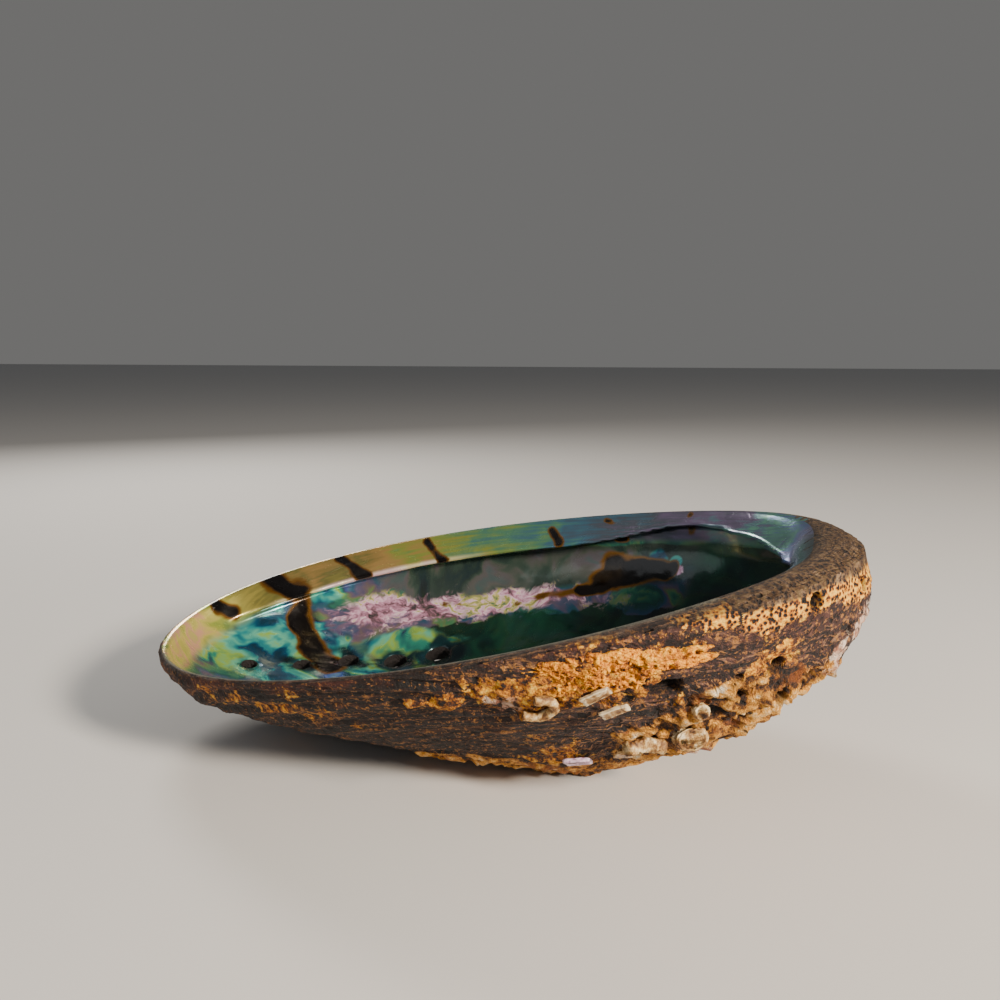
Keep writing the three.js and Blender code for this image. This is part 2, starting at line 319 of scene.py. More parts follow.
# The dark band of bare layers that crosses the outside under the sponge.
BARE_BAND = ((262, 0.34), (276, 0.30), (292, 0.32), (304, 0.22), (314, 0.13), (328, 0.04))


# A route of bearings and levels as points on the inside or outside of the wall.
def along_wall(surface, route):
    return [surface(bearing, level) for bearing, level in route]


def distance_to(point, route):
    nearest = 1e9
    for start, end in zip(route, route[1:]):
        run = end - start
        share = min(max((point - start).dot(run) / run.length_squared, 0), 1)
        nearest = min(nearest, (point - start - run * share).length)
    return nearest


# A wandering shift that gives bands and the painted shade round the holes their ragged edges.
def wander(point, scale):
    spots = (Vector((0, 0, 0)), Vector((31, 7, 3)), Vector((5, 43, 11)))
    return Vector([noise.noise(point * scale + spot) for spot in spots])


nacre_bands = [(along_wall(inside, route), w, black) for route, w, black in NACRE_BANDS]
bare_band = along_wall(outside, BARE_BAND)


# How deep in a growth band a place inside is: 0 outside it, about 1 in its black middle.
def brown_at(point):
    warp = 2.2 * wander(point, 0.14) + 0.4 * wander(point, 0.5)
    found = 0
    for route, half_width, black in nacre_bands:
        away = distance_to(point + warp, route) / half_width
        found = max(found, black * (1 - smooth(0.1, 1.7, away)))
    return found


# Painted dark green shade round the breathing holes, widest at the two largest.
def hole_shade_at(point):
    warp = 4 * wander(point, 0.25)
    found = 0
    for number, (into, half_long, half_wide) in enumerate(holes):
        spot = into @ (point + warp)
        if abs(spot.y) < 9:
            reach = hypot(spot.x / half_long, spot.z / half_wide)
            found = max(found, (0.55 + 0.15 * number) * (1.7 - 0.6 * reach))
    return min(max(found, 0), 1)


# Painted highlights on the nacre at the spire end, aqua and rose: bearing, level and size.
AQUA_HIGHLIGHTS = ((65, 0.147, 2.6), (61, 0.158, 2.2))
ROSE_HIGHLIGHT = (60.5, 0.19, 1.8)


# How much of each colour the nacre shows: gold on the front lip, aqua swirls behind it with a painted
# aqua highlight, rose on the scar with painted pink highlights, deep green on the floor, darkened
# towards near black with painted shade, slate on the wall under the shelf.
def nacre_tones(bearing, level, point):
    warp = 0.3 * noise.fractal(point * 0.11, 0.7, 2, 3)
    ragged = 0.035 * noise.fractal(point * Vector((0.12, 0.12, 0.3)), 0.9, 2.1, 4)
    gold = hump(bearing, 184, 34) * (1 - smooth(0.04, 0.17, level + 0.12 * warp))
    aqua_and_highlight = smooth(138, 150, bearing) * (1 - smooth(176, 196, bearing))
    aqua_and_highlight = aqua_and_highlight * smooth(0, 0.05, level) * (1 - smooth(0.35, 0.55, level))
    # A painted aqua highlight on the wall behind the front lip.
    aqua_and_highlight = max(aqua_and_highlight, 0.95 * hump(bearing, 139, 6) * hump(level, 0.1, 0.045))
    by_holes = smooth(0.27, 0.33, level) * (1 - smooth(0.4, 0.6, level))
    aqua_and_highlight = max(aqua_and_highlight, 0.9 * hump(bearing, 133, 16) * by_holes)
    # A painted pink and white highlight above the scar.
    rose_and_highlight = 1.1 * hump(bearing, 131, 11) * hump(level, 0.205, 0.07)
    edge = 0.335 - 0.0006 * (bearing - 100)
    rose_and_highlight = max(rose_and_highlight, 0.95 * hump(bearing, 105, 30) * hump(level, edge - 0.05, 0.055))
    far_wall = smooth(48, 62, bearing) * (1 - smooth(120, 134, bearing))
    front = smooth(116, 140, bearing) * (1 - smooth(205, 250, bearing)) * (1 - smooth(0.5, 0.7, level))
    # Deep green floor below the scar, and the right side towards the spire end, both darkened towards
    # near black with painted shade.
    deep_green_and_shade = smooth(edge - 0.012, edge + 0.012, level + ragged) * (1 - front)
    deep_green_and_shade = max(deep_green_and_shade, (1 - smooth(50, 66, bearing)) * smooth(0.05, 0.1, level), hump(bearing, 0, 25))
    for spot_bearing, spot_level, size in AQUA_HIGHLIGHTS:
        away = (point - inside(spot_bearing, spot_level)).length / size
        aqua_and_highlight = max(aqua_and_highlight, 1.3 * exp(-away * away))
    spot_bearing, spot_level, size = ROSE_HIGHLIGHT
    away = (point - inside(spot_bearing, spot_level)).length / size
    rose_and_highlight = max(rose_and_highlight, 1.3 * exp(-away * away))
    slate = far_wall * (1 - smooth(0.2, 0.3, level)) * smooth(0.07, 0.1, level)
    tones = (gold + warp, aqua_and_highlight + warp, rose_and_highlight + warp, deep_green_and_shade, slate + warp)
    return [min(max(tone, 0), 1) for tone in tones]


# The two sheets become the wall, finer round the burrows.
form = paired_sheets(SHELL_CELLS, LIP_CUTS)
shares = form.verts.layers.float.new("inside")
levels = form.verts.layers.float.new("level")
bearings = form.verts.layers.float.new("bearing")
crusts = form.verts.layers.float.new("crust")
lines = form.verts.layers.float_vector.new("growth")
browns = form.verts.layers.float.new("brown")
bares = form.verts.layers.float.new("bare")
pits = form.verts.layers.float.new("pit")
hole_shades = form.verts.layers.float.new("hole_shade")
reliefs = form.verts.layers.float.new("relief")
films = form.verts.layers.float.new("film")
chalks = form.verts.layers.float.new("chalk")
tones = [form.verts.layers.float.new(name) for name in ("gold", "aqua_and_highlight", "rose_and_highlight", "deep_green_and_shade", "slate")]
for vertex in form.verts:
    share = vertex.co.z + 0.5
    bearing, level = square_to_wall(vertex.co.x, vertex.co.y)
    if level < 1e-6:
        vertex.co = lip(bearing, share)
    elif share > 0.5:
        vertex.co = inside(bearing, level)
    else:
        vertex.co = outside(bearing, level)
    vertex[shares] = share
    vertex[levels] = level
    vertex[bearings] = bearing
for into, half_long, half_wide, power in burrows:
    def close_to_burrow(vertex):
        return vertex[shares] < 0.25 and (into @ vertex.co).length < 1.5 * half_long + 1.2

    near = [e for e in form.edges if all(close_to_burrow(v) for v in e.verts)]
    bmesh.ops.subdivide_edges(form, edges=near, cuts=2, use_grid_fill=True)
form.normal_update()

# Outside the wall is layered, bored and overgrown; inside it is smooth with a rough scar.
for vertex in form.verts:
    bearing, level, share = vertex[bearings], vertex[levels], vertex[shares]
    point, normal = vertex.co.copy(), vertex.normal.copy()
    if share < 0.25:
        move = outside_relief(bearing, level, point)
        for into, half_long, half_wide in holes:
            spot = into @ point
            reach = hypot(spot.x / half_long, spot.z / half_wide)
            if abs(spot.y) < 6:
                move = move * smooth(1, 2, reach) + 0.7 * exp(-(((reach - 1.25) / 0.4) ** 2))
        for into, half_long, half_wide, power in burrows:
            spot = into @ point
            if abs(spot.y) < 6:
                reach = (abs(spot.x / half_long) ** power + abs(spot.z / half_wide) ** power)
                bored = 1 - smooth(0.8, 1.1, reach ** (1 / power) + 0.12 * rough_at(point * 3))
                vertex[pits] = max(vertex[pits], bored)
                move -= BURROW_DEPTH * bored
        vertex[bares] = 1 - smooth(2.5, 6, distance_to(point, bare_band) + 1.5 * rough_at(point))
        vertex[crusts] = crust_cover(bearing, level, point) * (1 - 0.85 * vertex[bares])
        # The relief goes to the crust finish, which paints shade where it is low.
        vertex[reliefs] = rough_at(point) + 0.6 * knobs_at(point)
        vertex[films] = sponge_film(bearing, level, point)
        vertex[chalks] = chalk_cover(point)
    else:
        scar = hump(bearing, 105, 42) * smooth(0.16, 0.26, level) * (1 - smooth(0.4, 0.6, level))
        swell = noise.fractal(point * 0.035 + Vector((2, 9, 4)), 0.6, 2, 3)
        ripple = noise.fractal(point * 0.3, 0.8, 2.1, 4)
        on_wall = smooth(0.02, 0.1, level)
        vertex[browns] = brown_at(point)
        vertex[hole_shades] = hole_shade_at(point)
        for layer, tone in zip(tones, nacre_tones(bearing, level, point)):
            vertex[layer] = tone
        move = (0.5 * swell + 0.02 * ripple + 0.34 * scar * ripple) * on_wall
    vertex.co = point + normal * move

# The breathing holes are cut out of both sheets and walled from edge to edge.
hole_walls = []
for into, half_long, half_wide in holes:
    def reach_of(vertex):
        spot = into @ vertex.co
        if abs(spot.y) > 9:
            return 99
        return hypot(spot.x / half_long, spot.z / half_wide)

    gone = [v for v in form.verts if reach_of(v) < 0.9]
    bmesh.ops.delete(form, geom=gone, context="VERTS")
    edges = [e for e in form.edges if e.is_boundary]
    out_of = into.inverted()
    for vertex in {v for e in edges for v in e.verts}:
        spot = into @ vertex.co
        reach = reach_of(vertex)
        vertex.co = out_of @ Vector((spot.x / reach, spot.y, spot.z / reach))
    hole_walls += bmesh.ops.bridge_loops(form, edges=edges)["faces"]

for vertex in form.verts:
    line = growth(vertex.co.x, vertex.co.y)
    vertex[lines] = Vector((line, vertex.co.x / HALF_LENGTH, vertex.co.y / HALF_LENGTH))

# The nacre starts at the crown of the lip, and at the front lip it wraps over the edge.
for face in form.faces:
    corner = face.verts[0]
    start = 0.8 + 0.12 * noise.noise(corner.co * 0.5)
    start -= 0.5 * smooth(15, 50, corner[bearings]) * (1 - smooth(190, 215, corner[bearings]))
    face.material_index = 1 if corner[shares] > start else 0
    face.smooth = True
# The hole walls take the crust finish and are marked as pits, so they get painted dark shade.
for face in hole_walls:
    face.material_index = 0
    for vertex in face.verts:
        vertex[pits] = 1

form.transform(SETTLE)
low, high = [Vector(corner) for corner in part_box("abalone_shell")]
for vertex in form.verts:
    vertex.co = [min(max(c, l), h) for c, l, h in zip(vertex.co, low, high)]
shell_mesh = bpy.data.meshes.new("abalone_shell_wall")
form.to_mesh(shell_mesh)
form.free()
shell = bpy.data.objects.new("abalone_shell_wall", shell_mesh)
bpy.context.collection.objects.link(shell)
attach(shell, "root")
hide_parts("abalone_shell")


# The finishes are built up by these: each adds one node to a finish and gives its output.
def start_finish(name):
    finish = bpy.data.materials.new(name)
    finish.use_nodes = True
    return finish


def put(finish, kind, inputs, **settings):
    node = finish.node_tree.nodes.new("ShaderNode" + kind)
    for key, value in settings.items():
        setattr(node, key, value)
    for key, value in inputs.items():
        if isinstance(value, bpy.types.NodeSocket):
            finish.node_tree.links.new(value, node.inputs[key])
        else:
            node.inputs[key].default_value = value
    return node


def grain(finish, where, scale, detail=4, roughness=0.6, distortion=0):
    inputs = {"Vector": where, "Scale": scale, "Detail": detail, "Roughness": roughness}
    return put(finish, "TexNoise", inputs | {"Distortion": distortion}).outputs["Fac"]


def cells(finish, where, scale):
    return put(finish, "TexVoronoi", {"Vector": where, "Scale": scale}).outputs["Distance"]


def sums(finish, operation, a, b=0.0, c=0.0):
    return put(finish, "Math", {0: a, 1: b, 2: c}, operation=operation).outputs[0]


def times(finish, a, b):
    return sums(finish, "MULTIPLY", a, b)


def higher(finish, a, b):
    return sums(finish, "MAXIMUM", a, b)


# Adds a share of one value to another.
def add_share(finish, value, share, base):
    return sums(finish, "MULTIPLY_ADD", value, share, base)


def step(finish, value, low, high):
    inputs = {"Value": value, "From Min": low, "From Max": high}
    return put(finish, "MapRange", inputs, interpolation_type="SMOOTHSTEP").outputs["Result"]


# The same step falling instead of rising.
def fade(finish, value, low, high):
    return sums(finish, "SUBTRACT", 1, step(finish, value, low, high))


def blend(finish, share, a, b):
    node = put(finish, "Mix", {0: share}, data_type="RGBA")
    for slot, value in ((6, a), (7, b)):
        if isinstance(value, bpy.types.NodeSocket):
            finish.node_tree.links.new(value, node.inputs[slot])
        else:
            node.inputs[slot].default_value = (*value, 1)
    return node.outputs[2]


def ramp(finish, value, stops):
    node = put(finish, "ValToRGB", {"Fac": value})
    band = node.color_ramp
    band.elements[0].position, band.elements[1].position = stops[0][0], stops[-1][0]
    band.elements[0].color, band.elements[1].color = (*stops[0][1], 1), (*stops[-1][1], 1)
    for place, colour in stops[1:-1]:
        band.elements.new(place).color = (*colour, 1)
    return node.outputs["Color"]


def read(finish, name, output="Fac"):
    return put(finish, "Attribute", {}, attribute_name=name).outputs[output]


# The last of each finish: its colour, its fine relief and its gloss.
def dress(finish, colour, height, relief, strength, roughness):
    bump = put(finish, "Bump", {"Height": height, "Distance": relief, "Strength": strength})
    surface = finish.node_tree.nodes["Principled BSDF"]
    finish.node_tree.links.new(colour, surface.inputs["Base Color"])
    finish.node_tree.links.new(bump.outputs["Normal"], surface.inputs["Normal"])
    if isinstance(roughness, bpy.types.NodeSocket):
        finish.node_tree.links.new(roughness, surface.inputs["Roughness"])
    else:
        surface.inputs["Roughness"].default_value = roughness
    return surface


# The outside: dark brown layers along the growth lines, rusty and ochre sponge crust,
# chalky tan growths and bored pits.
crust_finish = start_finish("layered_crust")
where = put(crust_finish, "TexCoord", {}).outputs["Object"]
lines_at = read(crust_finish, "growth", "Vector")
streak_at = put(crust_finish, "VectorMath", {0: lines_at, 1: (70, 5, 5)}, operation="MULTIPLY")
streaks = grain(crust_finish, streak_at.outputs[0], 1.6, 5, 0.62)
speckle = grain(crust_finish, where, 1100, 3, 0.7)
patches = grain(crust_finish, where, 75, 5, 0.62)
blotches = grain(crust_finish, where, 240, 5, 0.65)
crumbs = grain(crust_finish, where, 620, 4, 0.75)
level_at = read(crust_finish, "level")
bearing_at = read(crust_finish, "bearing")
crust_at = read(crust_finish, "crust")
bare_at = read(crust_finish, "bare")
right_side = higher(
    crust_finish, step(crust_finish, bearing_at, 268, 300), fade(crust_finish, bearing_at, 20, 60)
)
near_rim = fade(crust_finish, level_at, 0.0, 0.13)
relief_at = read(crust_finish, "relief")
chalk_at = read(crust_finish, "chalk")

# The growth layers, dark brown and turning violet towards the spire end.
layers = ramp(crust_finish, streaks, [
    (0.38, (0.006, 0.002, 0.0015)), (0.47, (0.026, 0.009, 0.005)), (0.54, (0.07, 0.025, 0.012)),
    (0.61, (0.14, 0.058, 0.024)), (0.70, (0.34, 0.18, 0.07)),
])
violet = ramp(crust_finish, streaks, [
    (0.38, (0.012, 0.004, 0.004)), (0.48, (0.06, 0.024, 0.020)), (0.56, (0.15, 0.07, 0.055)),
    (0.66, (0.42, 0.27, 0.17)),
])
layers = blend(crust_finish, times(crust_finish, right_side, 0.8), layers, violet)

# Ochre flecks and soot in the layers, and a red tinge near the rim.
flecks_on = step(crust_finish, add_share(crust_finish, streaks, 0.55, speckle), 0.84, 0.9)
colour = blend(crust_finish, times(crust_finish, flecks_on, 0.8), layers, (0.46, 0.24, 0.07))
soot = step(crust_finish, grain(crust_finish, where, 900, 2, 0.6), 0.58, 0.66)
colour = blend(crust_finish, times(crust_finish, soot, 0.75), colour, (0.008, 0.004, 0.003))
reddish = times(crust_finish, near_rim, step(crust_finish, patches, 0.44, 0.6))
colour = blend(crust_finish, times(crust_finish, reddish, 0.5), colour, (0.22, 0.055, 0.028))

# Patches and the thin film of ochre sponge, darkest where the crumbly bump is low: painted shade in its
# hollows.
ochre = ramp(crust_finish, crumbs, [
    (0.38, (0.02, 0.007, 0.002)), (0.45, (0.18, 0.062, 0.006)), (0.52, (0.54, 0.23, 0.014)),
    (0.59, (0.82, 0.44, 0.035)), (0.68, (0.92, 0.66, 0.16)),
])
ochre_on = add_share(crust_finish, right_side, 0.075, patches)
ochre_on = add_share(crust_finish, crumbs, 0.25, ochre_on)
ochre_on = add_share(crust_finish, bare_at, -0.14, ochre_on)
front_side = fade(crust_finish, bearing_at, 235, 275)
ochre_on = add_share(crust_finish, front_side, -0.03, ochre_on)
ochre_on = add_share(crust_finish, read(crust_finish, "film"), 0.3, ochre_on)
colour = blend(crust_finish, step(crust_finish, ochre_on, 0.70, 0.76), colour, ochre)

# The tan crust of old growths, with painted shade in its hollows where the mesh relief and the bump run
# low, and with rust stains and chalky lime on it.
tan_and_valley_shade_at = add_share(crust_finish, relief_at, 0.13, times(crust_finish, blotches, 0.5))
tan = ramp(crust_finish, add_share(crust_finish, crumbs, 0.5, tan_and_valley_shade_at), [
    (0.40, (0.015, 0.006, 0.002)), (0.46, (0.14, 0.055, 0.008)), (0.51, (0.46, 0.22, 0.028)),
    (0.56, (0.76, 0.41, 0.08)), (0.62, (0.86, 0.56, 0.22)), (0.70, (0.90, 0.79, 0.62)),
])
crusty = step(crust_finish, add_share(crust_finish, blotches, 0.6, crust_at), 0.65, 0.85)
colour = blend(crust_finish, crusty, colour, tan)
rusty = step(crust_finish, grain(crust_finish, where, 130, 4, 0.6), 0.54, 0.62)
colour = blend(
    crust_finish,
    times(crust_finish, rusty, times(crust_finish, crusty, 0.75)),
    colour,
    (0.36, 0.13, 0.018),
)
chalky = add_share(crust_finish, crumbs, 0.9, chalk_at)
colour = blend(
    crust_finish,
    step(crust_finish, chalky, 0.85, 1.05),
    colour,
    ramp(crust_finish, blotches, [
        (0.4, (0.42, 0.20, 0.12)), (0.52, (0.74, 0.58, 0.47)), (0.64, (0.90, 0.82, 0.74)),
    ]),
)

# Honeycomb under the rim towards the spire end, dark in the middle of its cells with painted shade, and
# bored pits in the crust, bump and painted shade only.
comb = cells(crust_finish, where, 1150)
comb_side = higher(
    crust_finish, step(crust_finish, bearing_at, 290, 316), fade(crust_finish, bearing_at, 20, 50)
)
comb_on = times(crust_finish, near_rim, comb_side)
comb_on = add_share(crust_finish, patches, 1.9, comb_on)
comb_on = add_share(crust_finish, crumbs, 0.5, comb_on)
comb_on = step(crust_finish, comb_on, 1.72, 1.84)
comb_mixed = add_share(crust_finish, crumbs, 0.55, times(crust_finish, comb, 0.55))
comb_colour = ramp(crust_finish, comb_mixed, [
    (0.44, (0.010, 0.003, 0.001)), (0.49, (0.16, 0.045, 0.004)), (0.54, (0.58, 0.25, 0.012)),
    (0.60, (0.84, 0.42, 0.035)), (0.68, (0.95, 0.62, 0.15)),
])
big_pits = fade(crust_finish, cells(crust_finish, where, 300), 0.16, 0.27)
pitted = times(
    crust_finish, big_pits, step(crust_finish, grain(crust_finish, where, 160, 3), 0.52, 0.6)
)
pitted = times(crust_finish, pitted, higher(crust_finish, crusty, times(crust_finish, right_side, 0.8)))
comb_pits = times(crust_finish, comb_on, fade(crust_finish, comb, 0.2, 0.36))

# The worn rim, grey brown at the spire end and thin and pale along the lip.
worn = step(crust_finish, read(crust_finish, "inside"), 0.1, 0.35)
spire_end = higher(
    crust_finish, step(crust_finish, bearing_at, 318, 352), fade(crust_finish, bearing_at, 20, 40)
)
worn_to = add_share(crust_finish, spire_end, -0.016, level_at)
worn_to = add_share(crust_finish, blotches, 0.03, worn_to)
worn = higher(crust_finish, worn, fade(crust_finish, worn_to, 0.010, 0.022))
near_lip = step(crust_finish, read(crust_finish, "inside"), 0.3, 0.6)
near_lip = times(crust_finish, near_lip, sums(crust_finish, "SUBTRACT", 1, spire_end))
worn_colour = ramp(
    crust_finish,
    add_share(crust_finish, crumbs, 0.6, times(crust_finish, streaks, 0.4)),
    [
        (0.38, (0.012, 0.006, 0.004)), (0.47, (0.06, 0.036, 0.024)), (0.54, (0.15, 0.105, 0.075)),
        (0.66, (0.34, 0.26, 0.20)),
    ],
)
colour = blend(crust_finish, comb_on, colour, comb_colour)
colour = blend(crust_finish, times(crust_finish, worn, 0.88), colour, worn_colour)
colour = blend(crust_finish, times(crust_finish, near_lip, 0.7), colour, (0.34, 0.35, 0.28))

# Pits, burrows and the walls of the breathing holes get painted dark shade, and all of it gives the
# relief.
dark_holes = higher(crust_finish, pitted, comb_pits)
dark_holes = higher(crust_finish, dark_holes, read(crust_finish, "pit"))
pit_shade = higher(crust_finish, pitted, read(crust_finish, "pit"))
colour = blend(crust_finish, pit_shade, colour, (0.018, 0.007, 0.004))
height = add_share(crust_finish, streaks, 0.9, times(crust_finish, crumbs, 0.5))
height = add_share(crust_finish, blotches, 0.7, height)
height = add_share(crust_finish, dark_holes, -1.3, height)
rich = put(crust_finish, "Gamma", {"Color": colour, "Gamma": 1.35}).outputs["Color"]
dress(crust_finish, rich, height, 0.0019, 1.0, 0.78)
shell_mesh.materials.append(crust_finish)

# The inside: polished nacre in swirling colours, with brown growth bands.
nacre = start_finish("nacre")
where = put(nacre, "TexCoord", {}).outputs["Object"]
lines_at = read(nacre, "growth", "Vector")
bearing_at, level_at = read(nacre, "bearing"), read(nacre, "level")
warp = put(nacre, "TexNoise", {"Vector": where, "Scale": 55, "Detail": 4, "Distortion": 0.8})
cloud = warp.outputs["Fac"]
swirl_at = put(
    nacre, "VectorMath", {0: warp.outputs["Color"], 1: (0.02, 0.02, 0.02)}, operation="MULTIPLY_ADD"
)
nacre.node_tree.links.new(where, swirl_at.inputs[2])
swirl = grain(nacre, swirl_at.outputs[0], 62, 3, 0.5, 0.5)
fine = grain(nacre, swirl_at.outputs[0], 300, 4, 0.6, 0.5)
growth_line = put(nacre, "SeparateXYZ", {0: lines_at}).outputs[0]
hue_turn = add_share(nacre, growth_line, 5.0, times(nacre, swirl, 3.2))
hue_turn = sums(nacre, "FRACT", hue_turn)
play = ramp(nacre, hue_turn, [
    (0.0, (0.010, 0.09, 0.075)), (0.16, (0.03, 0.22, 0.14)), (0.30, (0.13, 0.34, 0.13)),
    (0.42, (0.25, 0.30, 0.10)), (0.54, (0.24, 0.14, 0.17)), (0.66, (0.17, 0.10, 0.24)),
    (0.80, (0.03, 0.10, 0.24)), (1.0, (0.010, 0.09, 0.075)),
])
quiet = ramp(nacre, cloud, [
    (0.3, (0.008, 0.05, 0.04)), (0.5, (0.03, 0.09, 0.07)), (0.62, (0.08, 0.09, 0.10)),
    (0.75, (0.16, 0.11, 0.15)),
])
colour = blend(nacre, 0.55, quiet, play)

# The floor in deep green darkened with painted shade, the wall under the shelf, and the rose and gold
# flame of the scar with its painted pink highlight.
# Deep green nacre, its own colour, darkened towards near black with painted shade.
deep_green_and_shade_at = step(nacre, read(nacre, "deep_green_and_shade"), 0.25, 0.75)
colour = blend(
    nacre,
    times(nacre, deep_green_and_shade_at, 0.93),
    colour,
    ramp(nacre, cloud, [
        (0.32, (0.002, 0.006, 0.005)), (0.46, (0.004, 0.030, 0.018)), (0.58, (0.008, 0.070, 0.035)),
        (0.7, (0.025, 0.085, 0.06)),
    ]),
)
slate_at = step(nacre, read(nacre, "slate"), 0.3, 0.8)
colour = blend(
    nacre,
    times(nacre, slate_at, 0.9),
    colour,
    ramp(nacre, swirl, [
        (0.34, (0.010, 0.022, 0.018)), (0.5, (0.040, 0.055, 0.045)), (0.62, (0.10, 0.095, 0.10)),
        (0.74, (0.05, 0.12, 0.10)),
    ]),
)
# Rose of the scar edge, and the pink and white painted highlights, from the rose tone.
rose_at = step(nacre, add_share(nacre, fine, 0.9, read(nacre, "rose_and_highlight")), 0.80, 1.15)
pearl_at = add_share(nacre, fine, 0.55, times(nacre, swirl, 0.45))
colour = blend(
    nacre,
    rose_at,
    colour,
    ramp(nacre, pearl_at, [
        (0.38, (0.05, 0.05, 0.05)), (0.44, (0.26, 0.13, 0.17)), (0.49, (0.62, 0.30, 0.44)),
        (0.54, (0.95, 0.66, 0.80)), (0.58, (0.60, 0.54, 0.16)), (0.64, (0.05, 0.16, 0.10)),
    ]),
)

# Aqua swirls behind the front lip with a painted aqua highlight, gold on it, and painted dark shade
# round the holes.
aqua_at = step(nacre, add_share(nacre, swirl, 0.5, read(nacre, "aqua_and_highlight")), 0.62, 0.95)
colour = blend(
    nacre,
    aqua_at,
    colour,
    ramp(nacre, swirl, [
        (0.30, (0.004, 0.020, 0.030)), (0.39, (0.010, 0.07, 0.14)), (0.44, (0.02, 0.26, 0.28)),
        (0.49, (0.14, 0.56, 0.38)), (0.52, (0.32, 0.52, 0.08)), (0.55, (0.03, 0.30, 0.20)),
        (0.60, (0.015, 0.06, 0.10)), (0.65, (0.04, 0.10, 0.36)), (0.72, (0.26, 0.46, 0.44)),
    ]),
)
gold_at = step(nacre, add_share(nacre, fine, 0.3, read(nacre, "gold")), 0.4, 0.9)
colour = blend(
    nacre,
    gold_at,
    colour,
    ramp(nacre, swirl, [
        (0.34, (0.10, 0.20, 0.06)), (0.42, (0.32, 0.38, 0.06)), (0.49, (0.62, 0.52, 0.12)),
        (0.54, (0.72, 0.36, 0.24)), (0.59, (0.52, 0.50, 0.10)), (0.68, (0.16, 0.30, 0.10)),
    ]),
)
# Painted dark shade round the breathing holes.
hole_shade_on = step(nacre, add_share(nacre, fine, 0.3, read(nacre, "hole_shade")), 0.42, 1.0)
colour = blend(
    nacre,
    hole_shade_on,
    colour,
    ramp(nacre, swirl, [
        (0.4, (0.003, 0.010, 0.012)), (0.55, (0.006, 0.035, 0.04)), (0.68, (0.03, 0.10, 0.20)),
    ]),
)

# The shelf changes hue along its length, and its edge gets a painted highlight.
lustre_at = put(nacre, "VectorMath", {0: lines_at, 1: (60, 4, 4)}, operation="MULTIPLY")
lustre = grain(nacre, lustre_at.outputs[0], 1.5, 4, 0.6)
shelf_turn = add_share(nacre, swirl, 70.0, bearing_at)
shelf_turn = add_share(nacre, lustre, 50.0, shelf_turn)
shelf_span = {"Value": shelf_turn, "From Min": 62.0, "From Max": 228.0}
shelf_hue = ramp(nacre, put(nacre, "MapRange", shelf_span).outputs["Result"], [
    (0.0, (0.10, 0.11, 0.13)), (0.07, (0.22, 0.20, 0.34)), (0.12, (0.10, 0.16, 0.36)),
    (0.17, (0.12, 0.34, 0.22)), (0.22, (0.10, 0.20, 0.24)), (0.28, (0.15, 0.11, 0.20)),
    (0.38, (0.07, 0.085, 0.11)), (0.48, (0.05, 0.14, 0.21)), (0.56, (0.09, 0.24, 0.13)),
    (0.66, (0.24, 0.30, 0.05)), (0.76, (0.40, 0.24, 0.07)), (0.86, (0.16, 0.15, 0.04)),
    (1.0, (0.46, 0.38, 0.08)),
])
on_shelf = times(
    nacre,
    fade(nacre, level_at, 0.06, 0.085),
    times(nacre, step(nacre, bearing_at, 2, 12), fade(nacre, bearing_at, 158, 172)),
)
colour = blend(nacre, on_shelf, colour, shelf_hue)
# A painted pale gold and pink highlight along the shelf's inner edge.
shelf_edge_highlight = times(nacre, step(nacre, level_at, 0.046, 0.056), fade(nacre, level_at, 0.062, 0.070))
shelf_edge_highlight = times(
    nacre,
    shelf_edge_highlight,
    times(nacre, step(nacre, bearing_at, 100, 116), fade(nacre, bearing_at, 150, 158)),
)
colour = blend(
    nacre,
    times(nacre, shelf_edge_highlight, 0.8),
    colour,
    ramp(nacre, swirl, [
        (0.40, (0.95, 0.80, 0.40)), (0.50, (0.98, 0.90, 0.70)), (0.60, (0.95, 0.66, 0.72)),
    ]),
)

# Growth bands, brown at their edges and black in the middle.
brown_on = add_share(nacre, fine, 0.25, read(nacre, "brown"))
colour = blend(nacre, step(nacre, brown_on, 0.24, 0.52), colour, (0.15, 0.065, 0.004))
bands = ramp(nacre, cloud, [
    (0.5, (0.003, 0.0015, 0.001)), (0.64, (0.008, 0.005, 0.003)), (0.76, (0.04, 0.025, 0.01)),
])
colour = blend(nacre, step(nacre, brown_on, 0.46, 0.8), colour, bands)
height = add_share(nacre, fine, 0.5, swirl)
gloss = put(nacre, "MapRange", {"Value": fine, "To Min": 0.16, "To Max": 0.34})
surface = dress(nacre, colour, height, 0.0012, 0.16, gloss.outputs["Result"])
surface.inputs["Metallic"].default_value = 0.5
surface.inputs["Coat Weight"].default_value = 0.5
surface.inputs["Coat Roughness"].default_value = 0.12
shell_mesh.materials.append(nacre)

# ---------------------------------------------------------------------------------
# The orange sponge mat, a crumbly crust a millimetre or two thick that grew over the
# near side just under the rim. It clings to the shell and dries on in patches.

MAT_BEARING, MAT_LEVEL = 296, 0.117
MAT_HALF_BEARING, MAT_HALF_LEVEL = 14, 0.078
MAT_THICKNESS = 1.5
MAT_CELLS = 150


# A seat for a growth, raised with the lump under it and turned by a twist in radians.
def perch(bearing, level, height=0, twist=0):
    frame_there = seat(bearing, level)
    place, out = frame_there.translation, frame_there.col[1].to_3d()
    rise = sum(h * exp(-(place - p).length_squared / r**2) for p, r, h in lump_places)
    lift = Matrix.Translation(out * (rise + height))
    return lift @ frame_there @ Matrix.Rotation(twist, 4, "Y")


